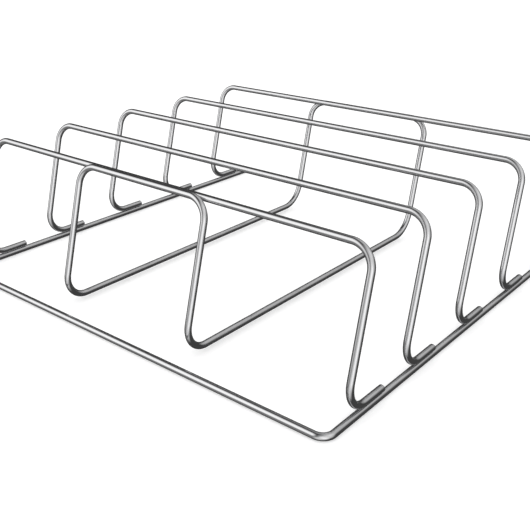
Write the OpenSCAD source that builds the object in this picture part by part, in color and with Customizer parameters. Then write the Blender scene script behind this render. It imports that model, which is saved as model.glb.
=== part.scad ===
// Rib rack: five leaning wire hoops welded on a U-shaped base frame, with a centre cradle
// that runs under them and is welded to the first and the last hoop.
// Millimetres, +Z up, +X to the right, +Y to the open rear of the frame.

/* [Wire] */
// Diameter of the round wire
wire_d = 4; // [3:0.5:5]
// Chamfer where a wire is cut off
end_chamfer = 0.4; // [0.1:0.1:0.8]

/* [Base frame] */
// Distance between the two rails, centre to centre
rail_spacing = 288; // [240:1:340]
// Distance from the front bar back to the first hoop's legs
front_reach = 14.3; // [12:0.1:30]
// How far the rails run on behind the last hoop's legs
rear_reach = 50; // [42:1:80]
// Centre-line radius of the frame's two front corners
frame_bend_r = 6.5; // [4:0.5:12]

/* [Rib hoops] */
// Height of the hoops above the ground
hoop_height = 88; // [70:1:110]
// Angle by which the hoops lean back from upright
lean = 13; // [4:0.5:20]
// Distance from the first hoop to the second
first_gap = 53.5; // [45:0.5:70]
// Distance from each later hoop to the next
hoop_pitch = 60; // [45:1:75]
// Centre-line radius of a hoop's two top corners
hoop_bend_r = 12.2; // [8:0.1:18]
// Centre-line radius of the bend above each foot
foot_bend_r = 13.7; // [8:0.1:16]
// How far each foot reaches back along its rail from the line of its leg
foot_reach = 35; // [28:1:40]

/* [Centre cradle] */
// Distance between the cradle's two runners, centre to centre
cradle_w = 99.5; // [70:0.5:140]
// Sideways place of the cradle's middle
cradle_x = -3.4; // [-20:0.1:20]
// Height of the runners' underside above the ground
runner_lift = 1.8; // [1:0.1:6]
// Centre-line radius of the cradle's low front bends
cradle_front_r = 13.7; // [8:0.1:18]
// Centre-line radius of the cradle's low rear bends
cradle_rear_r = 19.4; // [8:0.1:26]
// Centre-line radius of the cradle's top corners
cradle_top_r = 12.2; // [8:0.1:18]

/* [Hidden] */
$fn = 64;
frame_colour = [0.74, 0.74, 0.75];
hoop_colour = [0.78, 0.78, 0.79];
cradle_colour = [0.76, 0.76, 0.77];

wire_r = wire_d / 2;
hoop_count = 5;
last_hoop = hoop_count - 1;
rail_x = rail_spacing / 2;
rail_z = wire_r;
// A foot lies on top of its rail, and a hoop's top bar lies just under the full height
foot_z = rail_z + wire_d;
top_z = hoop_height - wire_r;
runner_z = runner_lift + wire_r;

// From the front bar's front to the rails' cut ends, with the origin half way
frame_length = wire_r + front_reach + first_gap + (hoop_count - 2) * hoop_pitch + rear_reach;
front_bar_y = wire_r - frame_length / 2;
rail_end_y = frame_length / 2;

// Where the line of hoop i's legs meets the height of the rails' centres
function leg_y(i) =
    front_bar_y + front_reach + (i > 0 ? first_gap + (i - 1) * hoop_pitch : 0);

// The cradle's end loops lie flat against the outer sides of the first and last hoops: they
// are one wire away, measured square to the lean, so the front one stands a little higher
// and the rear one a little lower
cradle_shift_y = wire_d / cos(lean);
cradle_rise = wire_d * sin(lean);
runner_left_x = cradle_x - cradle_w / 2;
runner_right_x = cradle_x + cradle_w / 2;

// A collar, a hair proud of the wire, joins each leg to its low bend across a hair's gap
collar_proud = 0.02;
collar_length = 0.5;
collar_gap = 0.1;

// Lengths worked out by trigonometry are kept to a thousandth of a millimetre
function to_micron(length) = round(length * 1000) / 1000;

// A low bend turns the wire from lying along Y to the lean of a leg. Its centre is right
// above the lying stretch, and side says where the leg is: -1 in front of it, 1 behind it.
// bend_y is the y of that centre, at height z, for a leg whose line starts at y, and
// leg_length is how far the leg goes from there to a corner with a top bar at height bar_z.
function bend_y(y, z, r, side) =
    to_micron(y - side * r * cos(lean) + (z - side * r * sin(lean) - rail_z) * tan(lean));
function leg_length(z, bar_z, r, side) =
    to_micron((bar_z - z + side * r * sin(lean)) / cos(lean));

// A straight stretch of wire from the origin up +Z
module stretch(length) {
    cylinder(h = length, d = wire_d);
}

// The same with its far end cut off and chamfered
module cut_stretch(length) {
    stretch(length - end_chamfer);
    translate([0, 0, length - end_chamfer])
        cylinder(h = end_chamfer, d1 = wire_d, d2 = wire_d - 2 * end_chamfer);
}

// A bend about +Z that starts on the +X side of its centre
module bend(r, angle) {
    rotate_extrude(angle = angle)
        translate([r, 0])
            circle(d = wire_d);
}

// A low bend with its centre at the origin, lying stretch below, leg on the given side
module low_bend(r, side) {
    rotate([0, 90, side < 0 ? 180 : 0])
        bend(r, 90 - side * lean);
}

// Two upright legs and a top bar at the given height between them, with rounded corners
module arch(left_x, right_x, height, r) {
    for (x = [left_x, right_x]) {
        translate([x, 0, collar_gap])
            stretch(height - r - collar_gap);
        translate([x, 0, -collar_length / 2])
            cylinder(h = collar_length, d = wire_d + 2 * collar_proud);
    }
    translate([left_x + r, 0, height - r])
        rotate([90, 0, 180])
            bend(r, 90);
    translate([right_x - r, 0, height - r])
        rotate([90, 0, 0])
            bend(r, 90);
    translate([left_x + r, 0, height])
        rotate([0, 90, 0])
            stretch(right_x - left_x - 2 * r);
}

// The arch leaned back about the centre line of its two low bends of radius low_r
module leaning_arch(left_x, right_x, height, r, low_r, side) {
    rotate([-lean, 0, 0])
        translate([0, side * low_r, 0])
            arch(left_x, right_x, height, r);
    for (x = [left_x, right_x])
        translate([x, 0, 0])
            low_bend(low_r, side);
}

// The frame: one wire on the ground, open at the rear
module base_frame() {
    corner_y = front_bar_y + frame_bend_r;
    color(frame_colour) {
        for (x = [-rail_x, rail_x])
            translate([x, corner_y, rail_z])
                rotate([-90, 0, 0])
                    cut_stretch(rail_end_y - corner_y);
        translate([frame_bend_r - rail_x, corner_y, rail_z])
            rotate([0, 0, 180])
                bend(frame_bend_r, 90);
        translate([rail_x - frame_bend_r, corner_y, rail_z])
            rotate([0, 0, 270])
                bend(frame_bend_r, 90);
        translate([frame_bend_r - rail_x, front_bar_y, rail_z])
            rotate([0, 90, 0])
                stretch(rail_spacing - 2 * frame_bend_r);
    }
}

// Hoop i: a foot on each rail, two leaning legs and the top bar
module rib_hoop(i) {
    centre_z = foot_z + foot_bend_r;
    centre_y = bend_y(leg_y(i), centre_z, foot_bend_r, -1);
    height = leg_length(centre_z, top_z, foot_bend_r, -1);
    color(hoop_colour) {
        translate([0, centre_y, centre_z])
            leaning_arch(-rail_x, rail_x, height, hoop_bend_r, foot_bend_r, -1);
        for (x = [-rail_x, rail_x])
            translate([x, centre_y, foot_z])
                rotate([-90, 0, 0])
                    cut_stretch(leg_y(i) + foot_reach - centre_y);
    }
}

// The cradle: one closed wire with an end loop against each outer hoop and two low runners
module centre_cradle() {
    front_z = runner_z + cradle_front_r;
    rear_z = runner_z + cradle_rear_r;
    front_y = bend_y(leg_y(0) - cradle_shift_y, front_z, cradle_front_r, -1);
    rear_y = bend_y(leg_y(last_hoop) + cradle_shift_y, rear_z, cradle_rear_r, 1);
    front_height = leg_length(front_z, top_z + cradle_rise, cradle_front_r, -1);
    rear_height = leg_length(rear_z, top_z - cradle_rise, cradle_rear_r, 1);
    color(cradle_colour) {
        translate([0, front_y, front_z])
            leaning_arch(runner_left_x, runner_right_x, front_height, cradle_top_r,
                         cradle_front_r, -1);
        translate([0, rear_y, rear_z])
            leaning_arch(runner_left_x, runner_right_x, rear_height, cradle_top_r,
                         cradle_rear_r, 1);
        for (x = [runner_left_x, runner_right_x])
            translate([x, front_y, runner_z])
                rotate([-90, 0, 0])
                    stretch(rear_y - front_y);
    }
}

base_frame();
rib_hoop(0);  // rib_hoop_1
rib_hoop(1);  // rib_hoop_2
rib_hoop(2);  // rib_hoop_3
rib_hoop(3);  // rib_hoop_4
rib_hoop(4);  // rib_hoop_5
centre_cradle();
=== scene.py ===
"""Rib rack in bright wire: seven bent and welded wires on a white studio floor.

Lengths are in metres. +Z is up, +X to the right and +Y to the open rear of the rack.
"""

import math

import bpy
import numpy as np
from mathutils import Matrix, Vector


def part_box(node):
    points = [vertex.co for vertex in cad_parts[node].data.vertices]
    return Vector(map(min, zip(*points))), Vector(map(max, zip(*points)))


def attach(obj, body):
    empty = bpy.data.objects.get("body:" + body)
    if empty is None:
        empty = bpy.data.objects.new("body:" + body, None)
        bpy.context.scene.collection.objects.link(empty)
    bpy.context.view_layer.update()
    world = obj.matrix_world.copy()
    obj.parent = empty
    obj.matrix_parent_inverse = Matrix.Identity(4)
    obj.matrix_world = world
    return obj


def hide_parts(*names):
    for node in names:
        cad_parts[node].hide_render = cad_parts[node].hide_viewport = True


# Wire and frame, as the solids have them
WIRE_R = 0.002
RAIL_X = 0.144
FRONT_REACH = 0.0143
FRAME_BEND_R = 0.0065

# Hoops
HOOP_COUNT = 5
LEAN = math.radians(13)
FIRST_GAP = 0.0535
HOOP_PITCH = 0.060
HOOP_BEND_R = 0.0122
FOOT_BEND_R = 0.0137
FOOT_REACH = 0.035

# Cradle
CRADLE_W = 0.0995
CRADLE_X = -0.0034
RUNNER_LIFT = 0.0018
CRADLE_FRONT_R = 0.0137
CRADLE_REAR_R = 0.0194
CRADLE_TOP_R = 0.0122

# How finely a wire is drawn: the points round it, the longest steps along it, and the fewest steps
SIDES = 32
BEND_STEP = math.radians(4)
BEND_STEPS_AT_LEAST = 6
STRAIGHT_STEP = 0.006
STRAIGHT_STEPS_AT_LEAST = 2

# A cut end: its rounded edge, the places of the rings on that edge as angles from the cut to the
# side of the wire, and two rings on the cut, which lie this many roundings in from the side
END_ROUNDING = 0.00035
EDGE_ANGLES = np.radians([90, 67, 45, 22, 0])
CUT_RINGS = np.array([1.9, 1.15])
END_RINGS = len(EDGE_ANGLES) + len(CUT_RINGS)

# A direction that no wire runs in. A wire's first side vector is square to it.
OFF_AXIS = (0.31, 0.22, 0.93)

# Noise over the wire: how fine it is along the wire and round it, its detail, and its place
DRAWN_LINES = (60, 2600, 3, 0)
GLOSS_PATCHES = (45, 160, 2, 7)
NOISE_USED = (0.3, 0.7)

# What the noise changes, from its low end to its high end
LINES_ROUGHNESS = (0.10, 0.15)
PATCHES_ROUGHNESS = (-0.02, 0.03)
DARK_STEEL = (0.73, 0.73, 0.74, 1)
LIGHT_STEEL = (0.79, 0.79, 0.80, 1)
LINES_STRENGTH = 0.15
LINES_DEPTH = 0.00001

# The photograph's frame and camera
IMAGE_SIZE = 530
FOCAL_PX = 820.97
CENTRE_PX = (214.54, 195.42)
CAMERA_AZIMUTH = math.radians(41.04)
CAMERA_ELEVATION = math.radians(18.91)
CAMERA_AT = (0.31315, -0.41878, 0.22715)
SENSOR_MM = 36
NEAREST_SEEN = 0.01

# The room that the wire shows: how bright it is below and above, the height of a direction at
# which it has become so, and its soft lights. Each light has an azimuth from the front towards
# +X, an elevation and a half-width, all in degrees, and a strength.
ROOM_FLOOR = 0.06
ROOM_CEILING = 0.045
ROOM_BLEND = 0.25
SOFT_LIGHTS = [(-45, 25, 43, 1.15), (32, -20, 54, 0.62), (67, 22, 64, 0.75), (157, 50, 54, 0.52),
               (-22, -25, 56, 0.17)]

# The studio floor, lifted so that it is pure white where nothing shades it
WHITE = (1, 1, 1, 1)
PAPER = (0.8, 0.8, 0.8, 1)
FLOOR_LIFT = 0.38
FLOOR_HALF = 4.0

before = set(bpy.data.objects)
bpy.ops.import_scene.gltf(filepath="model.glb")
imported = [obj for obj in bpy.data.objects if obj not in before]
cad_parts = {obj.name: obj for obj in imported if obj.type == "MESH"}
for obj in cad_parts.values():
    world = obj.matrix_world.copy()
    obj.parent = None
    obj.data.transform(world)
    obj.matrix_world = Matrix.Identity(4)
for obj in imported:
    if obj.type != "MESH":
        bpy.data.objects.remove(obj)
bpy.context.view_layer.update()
base_low, base_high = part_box("base_frame")
hoop_low, hoop_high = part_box("rib_hoop_1")
FRONT_BAR_Y = base_low[1] + WIRE_R
RAIL_END_Y = base_high[1]
RAIL_Z = WIRE_R
FOOT_Z = RAIL_Z + 2 * WIRE_R
TOP_Z = hoop_high[2] - WIRE_R
RUNNER_Z = RUNNER_LIFT + WIRE_R


def unit(v):
    """The vector, or each row of vectors, divided by its length."""
    return v / np.linalg.norm(v, axis=-1, keepdims=True)


def turned(v, axis, angles):
    """Rodrigues: v cos t + (axis x v) sin t + axis (axis . v)(1 - cos t), for each angle t."""
    c = np.cos(angles)[:, None]
    s = np.sin(angles)[:, None]
    return v * c + np.cross(axis, v) * s + axis * np.dot(axis, v) * (1 - c)


def leaned(y, z):
    """The y at height z of a leg whose line starts at y on the rails' height."""
    return y + (z - RAIL_Z) * math.tan(LEAN)


def leg_y(i):
    """Where the line of hoop i's legs meets the height of the rails' centres."""
    past_first = FIRST_GAP + (i - 1) * HOOP_PITCH if i else 0.0
    return FRONT_BAR_Y + FRONT_REACH + past_first


def bend_arcs(points, radii, closed):
    """The arc at each corner: start, end, centre, axis, turn, and the direction before it.

    At a corner with inner angle g and bend radius r, the arc starts r / tan(g / 2) before the
    corner and turns by 180 degrees - g about the axis square to both stretches.
    """
    count = len(points)
    corners = range(count) if closed else range(1, count - 1)
    arcs = []
    for i, r in zip(corners, radii):
        before = unit(points[i] - points[i - 1])
        after = unit(points[(i + 1) % count] - points[i])
        turn = math.acos(np.clip(np.dot(before, after), -1, 1))
        axis = unit(np.cross(before, after))
        start = points[i] - before * r * math.tan(turn / 2)
        end = points[i] + after * r * math.tan(turn / 2)
        centre = start + np.cross(axis, before) * r
        arcs.append((start, end, centre, axis, turn, before))
    return arcs


def straight_steps(start, end):
    """How many steps a straight stretch takes."""
    return max(STRAIGHT_STEPS_AT_LEAST, int(np.linalg.norm(end - start) / STRAIGHT_STEP))


def centre_line(points, radii, closed):
    """A wire's centre line: straight stretches joined by arcs that round the corners.

    Each sample has its place, its direction and a side vector. The side vector is carried
    straight along the stretches and turned with the bends, so the tube round it doesn't twist.
    The side vector at the far end is returned too.
    """
    points = np.array(points, float)
    arcs = bend_arcs(points, radii, closed)
    here = arcs[-1][1] if closed else points[0]
    side = unit(np.cross(arcs[0][-1], OFF_AXIS))
    places, ways, sides = [], [], []
    for start, end, centre, axis, turn, before in arcs:
        steps = straight_steps(here, start)
        t = np.linspace(0, 1, steps, endpoint=False)[:, None]
        places.append(here + (start - here) * t)
        ways.append(np.repeat(before[None], steps, 0))
        sides.append(np.repeat(side[None], steps, 0))
        angles = np.linspace(0, turn, max(BEND_STEPS_AT_LEAST, int(turn / BEND_STEP)) + 1)
        bend_ways = turned(before, axis, angles)
        bend_sides = turned(side, axis, angles)
        places.append(centre + turned(start - centre, axis, angles[:-1]))
        ways.append(bend_ways[:-1])
        sides.append(bend_sides[:-1])
        here, way, side = end, bend_ways[-1], bend_sides[-1]
    if not closed:
        steps = straight_steps(here, points[-1]) + 1
        t = np.linspace(0, 1, steps)[:, None]
        places.append(here + (points[-1] - here) * t)
        ways.append(np.repeat(way[None], steps, 0))
        sides.append(np.repeat(side[None], steps, 0))
    return np.concatenate(places), np.concatenate(ways), np.concatenate(sides), side


def with_ends(rows):
    """The rows, with the first and the last of them repeated for the rings of a cut end."""
    first = np.repeat(rows[:1], END_RINGS, 0)
    last = np.repeat(rows[-1:], END_RINGS, 0)
    return np.concatenate([first, rows[1:-1], last])


def wire_grid(points, radii, closed):
    """A round profile carried along the centre line: place + r (side cos a + up sin a).

    An open wire gets extra rings at both ends, whose radius follows a quarter circle of
    END_ROUNDING down to the flat cut. A closed wire spreads what its side vector has turned by
    in one round along its whole length, so the last ring meets the first without a jump.
    Returns the rings' points, and the length along the wire at each ring.
    """
    place, way, side, last_side = centre_line(points, radii, closed)
    if closed:
        step = np.linalg.norm(np.roll(place, -1, 0) - place, axis=1)
        length = np.concatenate([[0], np.cumsum(step)])
        first_up = np.cross(way[0], side[0])
        gap = math.atan2(np.dot(last_side, first_up), np.dot(last_side, side[0]))
        radius = np.full(len(place), WIRE_R)
        offset = -gap * length[:-1] / length[-1]
    else:
        on_cut = WIRE_R - END_ROUNDING * CUT_RINGS
        on_edge = WIRE_R - END_ROUNDING * (1 - np.cos(EDGE_ANGLES))
        end_radius = np.concatenate([on_cut, on_edge])
        inset = np.concatenate([np.zeros(len(on_cut)), END_ROUNDING * (1 - np.sin(EDGE_ANGLES))])
        first = place[:1] + way[:1] * inset[:, None]
        last = place[-1:] - way[-1:] * inset[::-1, None]
        middle_radius = np.full(len(place) - 2, WIRE_R)
        radius = np.concatenate([end_radius, middle_radius, end_radius[::-1]])
        place = np.concatenate([first, place[1:-1], last])
        side = with_ends(side)
        way = with_ends(way)
        offset = np.zeros(len(place))
        step = np.linalg.norm(np.diff(place, axis=0), axis=1)
        length = np.concatenate([[0], np.cumsum(step)])
    up = np.cross(way, side)
    angle = np.linspace(0, 2 * math.pi, SIDES, endpoint=False)[None, :] + offset[:, None]
    around = side[:, None] * np.cos(angle)[..., None] + up[:, None] * np.sin(angle)[..., None]
    return place[:, None] + around * radius[:, None, None], length


def wire_mesh(name, points, radii, closed=False):
    """Skins the rings of wire_grid with quads, and closes an open wire's ends with fans.

    The UV map holds the length along the wire and the length round it, both in metres.
    """
    rings, length = wire_grid(points, radii, closed)
    count = len(rings)
    rows = count if closed else count - 1
    i, j = np.meshgrid(np.arange(rows), np.arange(SIDES), indexing="ij")
    a = i * SIDES + j
    b = i * SIDES + (j + 1) % SIDES
    c = (i + 1) % count * SIDES + (j + 1) % SIDES
    d = (i + 1) % count * SIDES + j
    quads = np.stack([a, b, c, d], -1).reshape(-1, 4)
    side_width = 2 * math.pi * WIRE_R / SIDES
    quad_u = np.stack([length[i], length[i], length[i + 1], length[i + 1]], -1).reshape(-1, 4)
    quad_v = np.stack([j, j + 1, j + 1, j], -1).reshape(-1, 4) * side_width
    verts = rings.reshape(-1, 3)
    faces = quads.tolist()
    uv = np.stack([quad_u, quad_v], -1).reshape(-1, 2)
    if not closed:
        middles = np.array([rings[0].mean(0), rings[-1].mean(0)])
        k = np.arange(SIDES)
        first = np.stack([np.full(SIDES, len(verts)), (k + 1) % SIDES, k], -1)
        last = np.stack([np.full(SIDES, len(verts) + 1), k, (k + 1) % SIDES], -1)
        last[:, 1:] += (count - 1) * SIDES
        verts = np.concatenate([verts, middles])
        faces += first.tolist() + last.tolist()
        fan_v = np.stack([k + 0.5, k + 1, k], -1) * side_width
        first_uv = np.stack([np.full((SIDES, 3), length[0]), fan_v], -1)
        last_uv = np.stack([np.full((SIDES, 3), length[-1]), fan_v], -1)
        uv = np.concatenate([uv, first_uv.reshape(-1, 2), last_uv.reshape(-1, 2)])
    mesh = bpy.data.meshes.new(name)
    mesh.from_pydata(verts.tolist(), [], faces)
    mesh.uv_layers.new(name="along_wire").data.foreach_set("uv", uv.ravel())
    mesh.polygons.foreach_set("use_smooth", np.ones(len(faces), bool))
    mesh.update()
    return mesh


def add_wire(name, node, material, points, radii, closed=False):
    """Puts a wire in the scene in place of the solid of the same wire."""
    wire = bpy.data.objects.new(name, wire_mesh(name, points, radii, closed))
    bpy.context.collection.objects.link(wire)
    wire.data.materials.append(material)
    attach(wire, "root")
    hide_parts(node)


def base_frame_wire(material):
    """The U on the ground: a rail, the front bar and the other rail."""
    points = [(-RAIL_X, RAIL_END_Y, RAIL_Z), (-RAIL_X, FRONT_BAR_Y, RAIL_Z),
              (RAIL_X, FRONT_BAR_Y, RAIL_Z), (RAIL_X, RAIL_END_Y, RAIL_Z)]
    add_wire("base_wire", "base_frame", material, points, [FRAME_BEND_R, FRAME_BEND_R])


def hoop_wire(i, material):
    """Hoop i: foot, leaning leg, top bar, leg and foot."""
    foot_end_y = leg_y(i) + FOOT_REACH
    heel_y = leaned(leg_y(i), FOOT_Z)
    top_y = leaned(leg_y(i), TOP_Z)
    half = [(foot_end_y, FOOT_Z), (heel_y, FOOT_Z), (top_y, TOP_Z)]
    points = [(-RAIL_X, y, z) for y, z in half] + [(RAIL_X, y, z) for y, z in reversed(half)]
    radii = [FOOT_BEND_R, HOOP_BEND_R, HOOP_BEND_R, FOOT_BEND_R]
    add_wire(f"hoop_wire_{i + 1}", f"rib_hoop_{i + 1}", material, points, radii)


def cradle_wire(material):
    """The closed cradle: each end arch lies one wire off its hoop, square to the lean."""
    front_y = leg_y(0) - 2 * WIRE_R / math.cos(LEAN)
    rear_y = leg_y(HOOP_COUNT - 1) + 2 * WIRE_R / math.cos(LEAN)
    front_top_z = TOP_Z + 2 * WIRE_R * math.sin(LEAN)
    rear_top_z = TOP_Z - 2 * WIRE_R * math.sin(LEAN)
    half = [(leaned(front_y, front_top_z), front_top_z), (leaned(front_y, RUNNER_Z), RUNNER_Z),
            (leaned(rear_y, RUNNER_Z), RUNNER_Z), (leaned(rear_y, rear_top_z), rear_top_z)]
    radii = [CRADLE_TOP_R, CRADLE_FRONT_R, CRADLE_REAR_R, CRADLE_TOP_R]
    left_x = CRADLE_X - CRADLE_W / 2
    right_x = CRADLE_X + CRADLE_W / 2
    points = [(left_x, y, z) for y, z in half] + [(right_x, y, z) for y, z in reversed(half)]
    add_wire("cradle_wire", "centre_cradle", material, points, radii + radii[::-1], closed=True)


def mapped(tree, value, used, made, smooth=False):
    """A node that maps a value from the range used to the range made, and its result."""
    node = tree.nodes.new("ShaderNodeMapRange")
    node.interpolation_type = "SMOOTHSTEP" if smooth else "LINEAR"
    node.inputs["From Min"].default_value = used[0]
    node.inputs["From Max"].default_value = used[1]
    node.inputs["To Min"].default_value = made[0]
    node.inputs["To Max"].default_value = made[1]
    tree.links.new(value, node.inputs["Value"])
    return node.outputs["Result"]


def wire_noise(tree, coordinates, along, around, detail, place):
    """Noise stretched over the wire's UV map, as fine along and around it as said."""
    stretch = tree.nodes.new("ShaderNodeMapping")
    stretch.inputs["Scale"].default_value = (along, around, 1)
    stretch.inputs["Location"].default_value = (0, 0, place)
    tree.links.new(coordinates.outputs["UV"], stretch.inputs["Vector"])
    texture = tree.nodes.new("ShaderNodeTexNoise")
    texture.inputs["Scale"].default_value = 1.0
    texture.inputs["Detail"].default_value = detail
    tree.links.new(stretch.outputs["Vector"], texture.inputs["Vector"])
    return texture.outputs["Fac"]


def bright_wire():
    """Polished steel wire: faint lines along it from drawing, and a slow change of gloss."""
    material = bpy.data.materials.new("bright_wire")
    material.use_nodes = True
    tree = material.node_tree
    nodes, links = tree.nodes, tree.links
    shader = nodes["Principled BSDF"]
    shader.inputs["Metallic"].default_value = 1.0
    coordinates = nodes.new("ShaderNodeUVMap")
    coordinates.uv_map = "along_wire"
    drawn = wire_noise(tree, coordinates, *DRAWN_LINES)
    patches = wire_noise(tree, coordinates, *GLOSS_PATCHES)
    roughness = nodes.new("ShaderNodeMath")
    roughness.operation = "ADD"
    links.new(mapped(tree, drawn, NOISE_USED, LINES_ROUGHNESS), roughness.inputs[0])
    links.new(mapped(tree, patches, NOISE_USED, PATCHES_ROUGHNESS), roughness.inputs[1])
    links.new(roughness.outputs[0], shader.inputs["Roughness"])
    tone = nodes.new("ShaderNodeMix")
    tone.data_type = "RGBA"
    tone.inputs["A"].default_value = DARK_STEEL
    tone.inputs["B"].default_value = LIGHT_STEEL
    links.new(mapped(tree, drawn, NOISE_USED, (0, 1)), tone.inputs["Factor"])
    links.new(tone.outputs["Result"], shader.inputs["Base Color"])
    bump = nodes.new("ShaderNodeBump")
    bump.inputs["Strength"].default_value = LINES_STRENGTH
    bump.inputs["Distance"].default_value = LINES_DEPTH
    links.new(drawn, bump.inputs["Height"])
    links.new(bump.outputs["Normal"], shader.inputs["Normal"])
    return material


def chosen_for_gloss(tree, plain_shader, glossy_shader, surface):
    """Glossy rays get one shader and all other rays the other one."""
    seen = tree.nodes.new("ShaderNodeLightPath")
    choice = tree.nodes.new("ShaderNodeMixShader")
    tree.links.new(seen.outputs["Is Glossy Ray"], choice.inputs["Fac"])
    tree.links.new(plain_shader.outputs[0], choice.inputs[1])
    tree.links.new(glossy_shader.outputs[0], choice.inputs[2])
    tree.links.new(choice.outputs[0], surface)


def studio_floor():
    """A plain white floor that keeps the shadows. The wire shows the room below it instead."""
    half = FLOOR_HALF
    corners = [(-half, -half, 0), (half, -half, 0), (half, half, 0), (-half, half, 0)]
    mesh = bpy.data.meshes.new("floor")
    mesh.from_pydata(corners, [], [(0, 1, 2, 3)])
    floor = bpy.data.objects.new("floor", mesh)
    bpy.context.collection.objects.link(floor)
    material = bpy.data.materials.new("floor_paper")
    material.use_nodes = True
    tree = material.node_tree
    tree.nodes.clear()
    output = tree.nodes.new("ShaderNodeOutputMaterial")
    paper = tree.nodes.new("ShaderNodeBsdfDiffuse")
    paper.inputs["Color"].default_value = PAPER
    lift = tree.nodes.new("ShaderNodeEmission")
    lift.inputs["Strength"].default_value = FLOOR_LIFT
    lifted = tree.nodes.new("ShaderNodeAddShader")
    tree.links.new(paper.outputs[0], lifted.inputs[0])
    tree.links.new(lift.outputs[0], lifted.inputs[1])
    nothing = tree.nodes.new("ShaderNodeBsdfTransparent")
    chosen_for_gloss(tree, lifted, nothing, output.inputs["Surface"])
    mesh.materials.append(material)


def studio_world():
    """White to the camera and as light on the floor. The wire shows a dim room with soft lights.

    A soft light is a round patch of the room: with c the cosine of the angle from its middle
    and e that of its half-width, its brightness is a smooth step of (c - e) / (1 - e).
    """
    world = bpy.data.worlds.new("studio")
    bpy.context.scene.world = world
    world.use_nodes = True
    tree = world.node_tree
    nodes, links = tree.nodes, tree.links
    nodes.clear()
    output = nodes.new("ShaderNodeOutputWorld")
    backdrop = nodes.new("ShaderNodeBackground")
    backdrop.inputs["Color"].default_value = WHITE
    room = nodes.new("ShaderNodeBackground")
    room.inputs["Color"].default_value = WHITE
    direction = nodes.new("ShaderNodeTexCoord").outputs["Generated"]
    height = nodes.new("ShaderNodeSeparateXYZ")
    links.new(direction, height.inputs[0])
    blend = (-ROOM_BLEND, ROOM_BLEND)
    total = mapped(tree, height.outputs["Z"], blend, (ROOM_FLOOR, ROOM_CEILING))
    for azimuth, elevation, half_width, strength in SOFT_LIGHTS:
        a, e = math.radians(azimuth), math.radians(elevation)
        middle = (math.sin(a) * math.cos(e), -math.cos(a) * math.cos(e), math.sin(e))
        facing = nodes.new("ShaderNodeVectorMath")
        facing.operation = "DOT_PRODUCT"
        facing.inputs[1].default_value = middle
        links.new(direction, facing.inputs[0])
        patch = (math.cos(math.radians(half_width)), 1)
        glow = mapped(tree, facing.outputs["Value"], patch, (0, strength), smooth=True)
        both = nodes.new("ShaderNodeMath")
        both.operation = "ADD"
        links.new(total, both.inputs[0])
        links.new(glow, both.inputs[1])
        total = both.outputs[0]
    links.new(total, room.inputs["Strength"])
    chosen_for_gloss(tree, backdrop, room, output.inputs["Surface"])


def photo_camera():
    """The photograph's camera: its place, its direction, and its off-centre frame as shift."""
    camera = bpy.data.cameras.new("camera")
    camera.sensor_width = SENSOR_MM
    camera.lens = FOCAL_PX / IMAGE_SIZE * SENSOR_MM
    camera.shift_x = (IMAGE_SIZE / 2 - CENTRE_PX[0]) / IMAGE_SIZE
    camera.shift_y = (CENTRE_PX[1] - IMAGE_SIZE / 2) / IMAGE_SIZE
    camera.clip_start = NEAREST_SEEN
    az, el = CAMERA_AZIMUTH, CAMERA_ELEVATION
    back = Vector((math.sin(az) * math.cos(el), -math.cos(az) * math.cos(el), math.sin(el)))
    right = Vector((math.cos(az), math.sin(az), 0))
    up = back.cross(right)
    holder = bpy.data.objects.new("camera", camera)
    bpy.context.collection.objects.link(holder)
    turn = Matrix((right, up, back)).transposed()
    holder.matrix_world = Matrix.Translation(CAMERA_AT) @ turn.to_4x4()
    bpy.context.scene.camera = holder


steel = bright_wire()
base_frame_wire(steel)
for hoop in range(HOOP_COUNT):
    hoop_wire(hoop, steel)
cradle_wire(steel)
studio_floor()
studio_world()
photo_camera()
bpy.context.scene.view_settings.view_transform = "Standard"
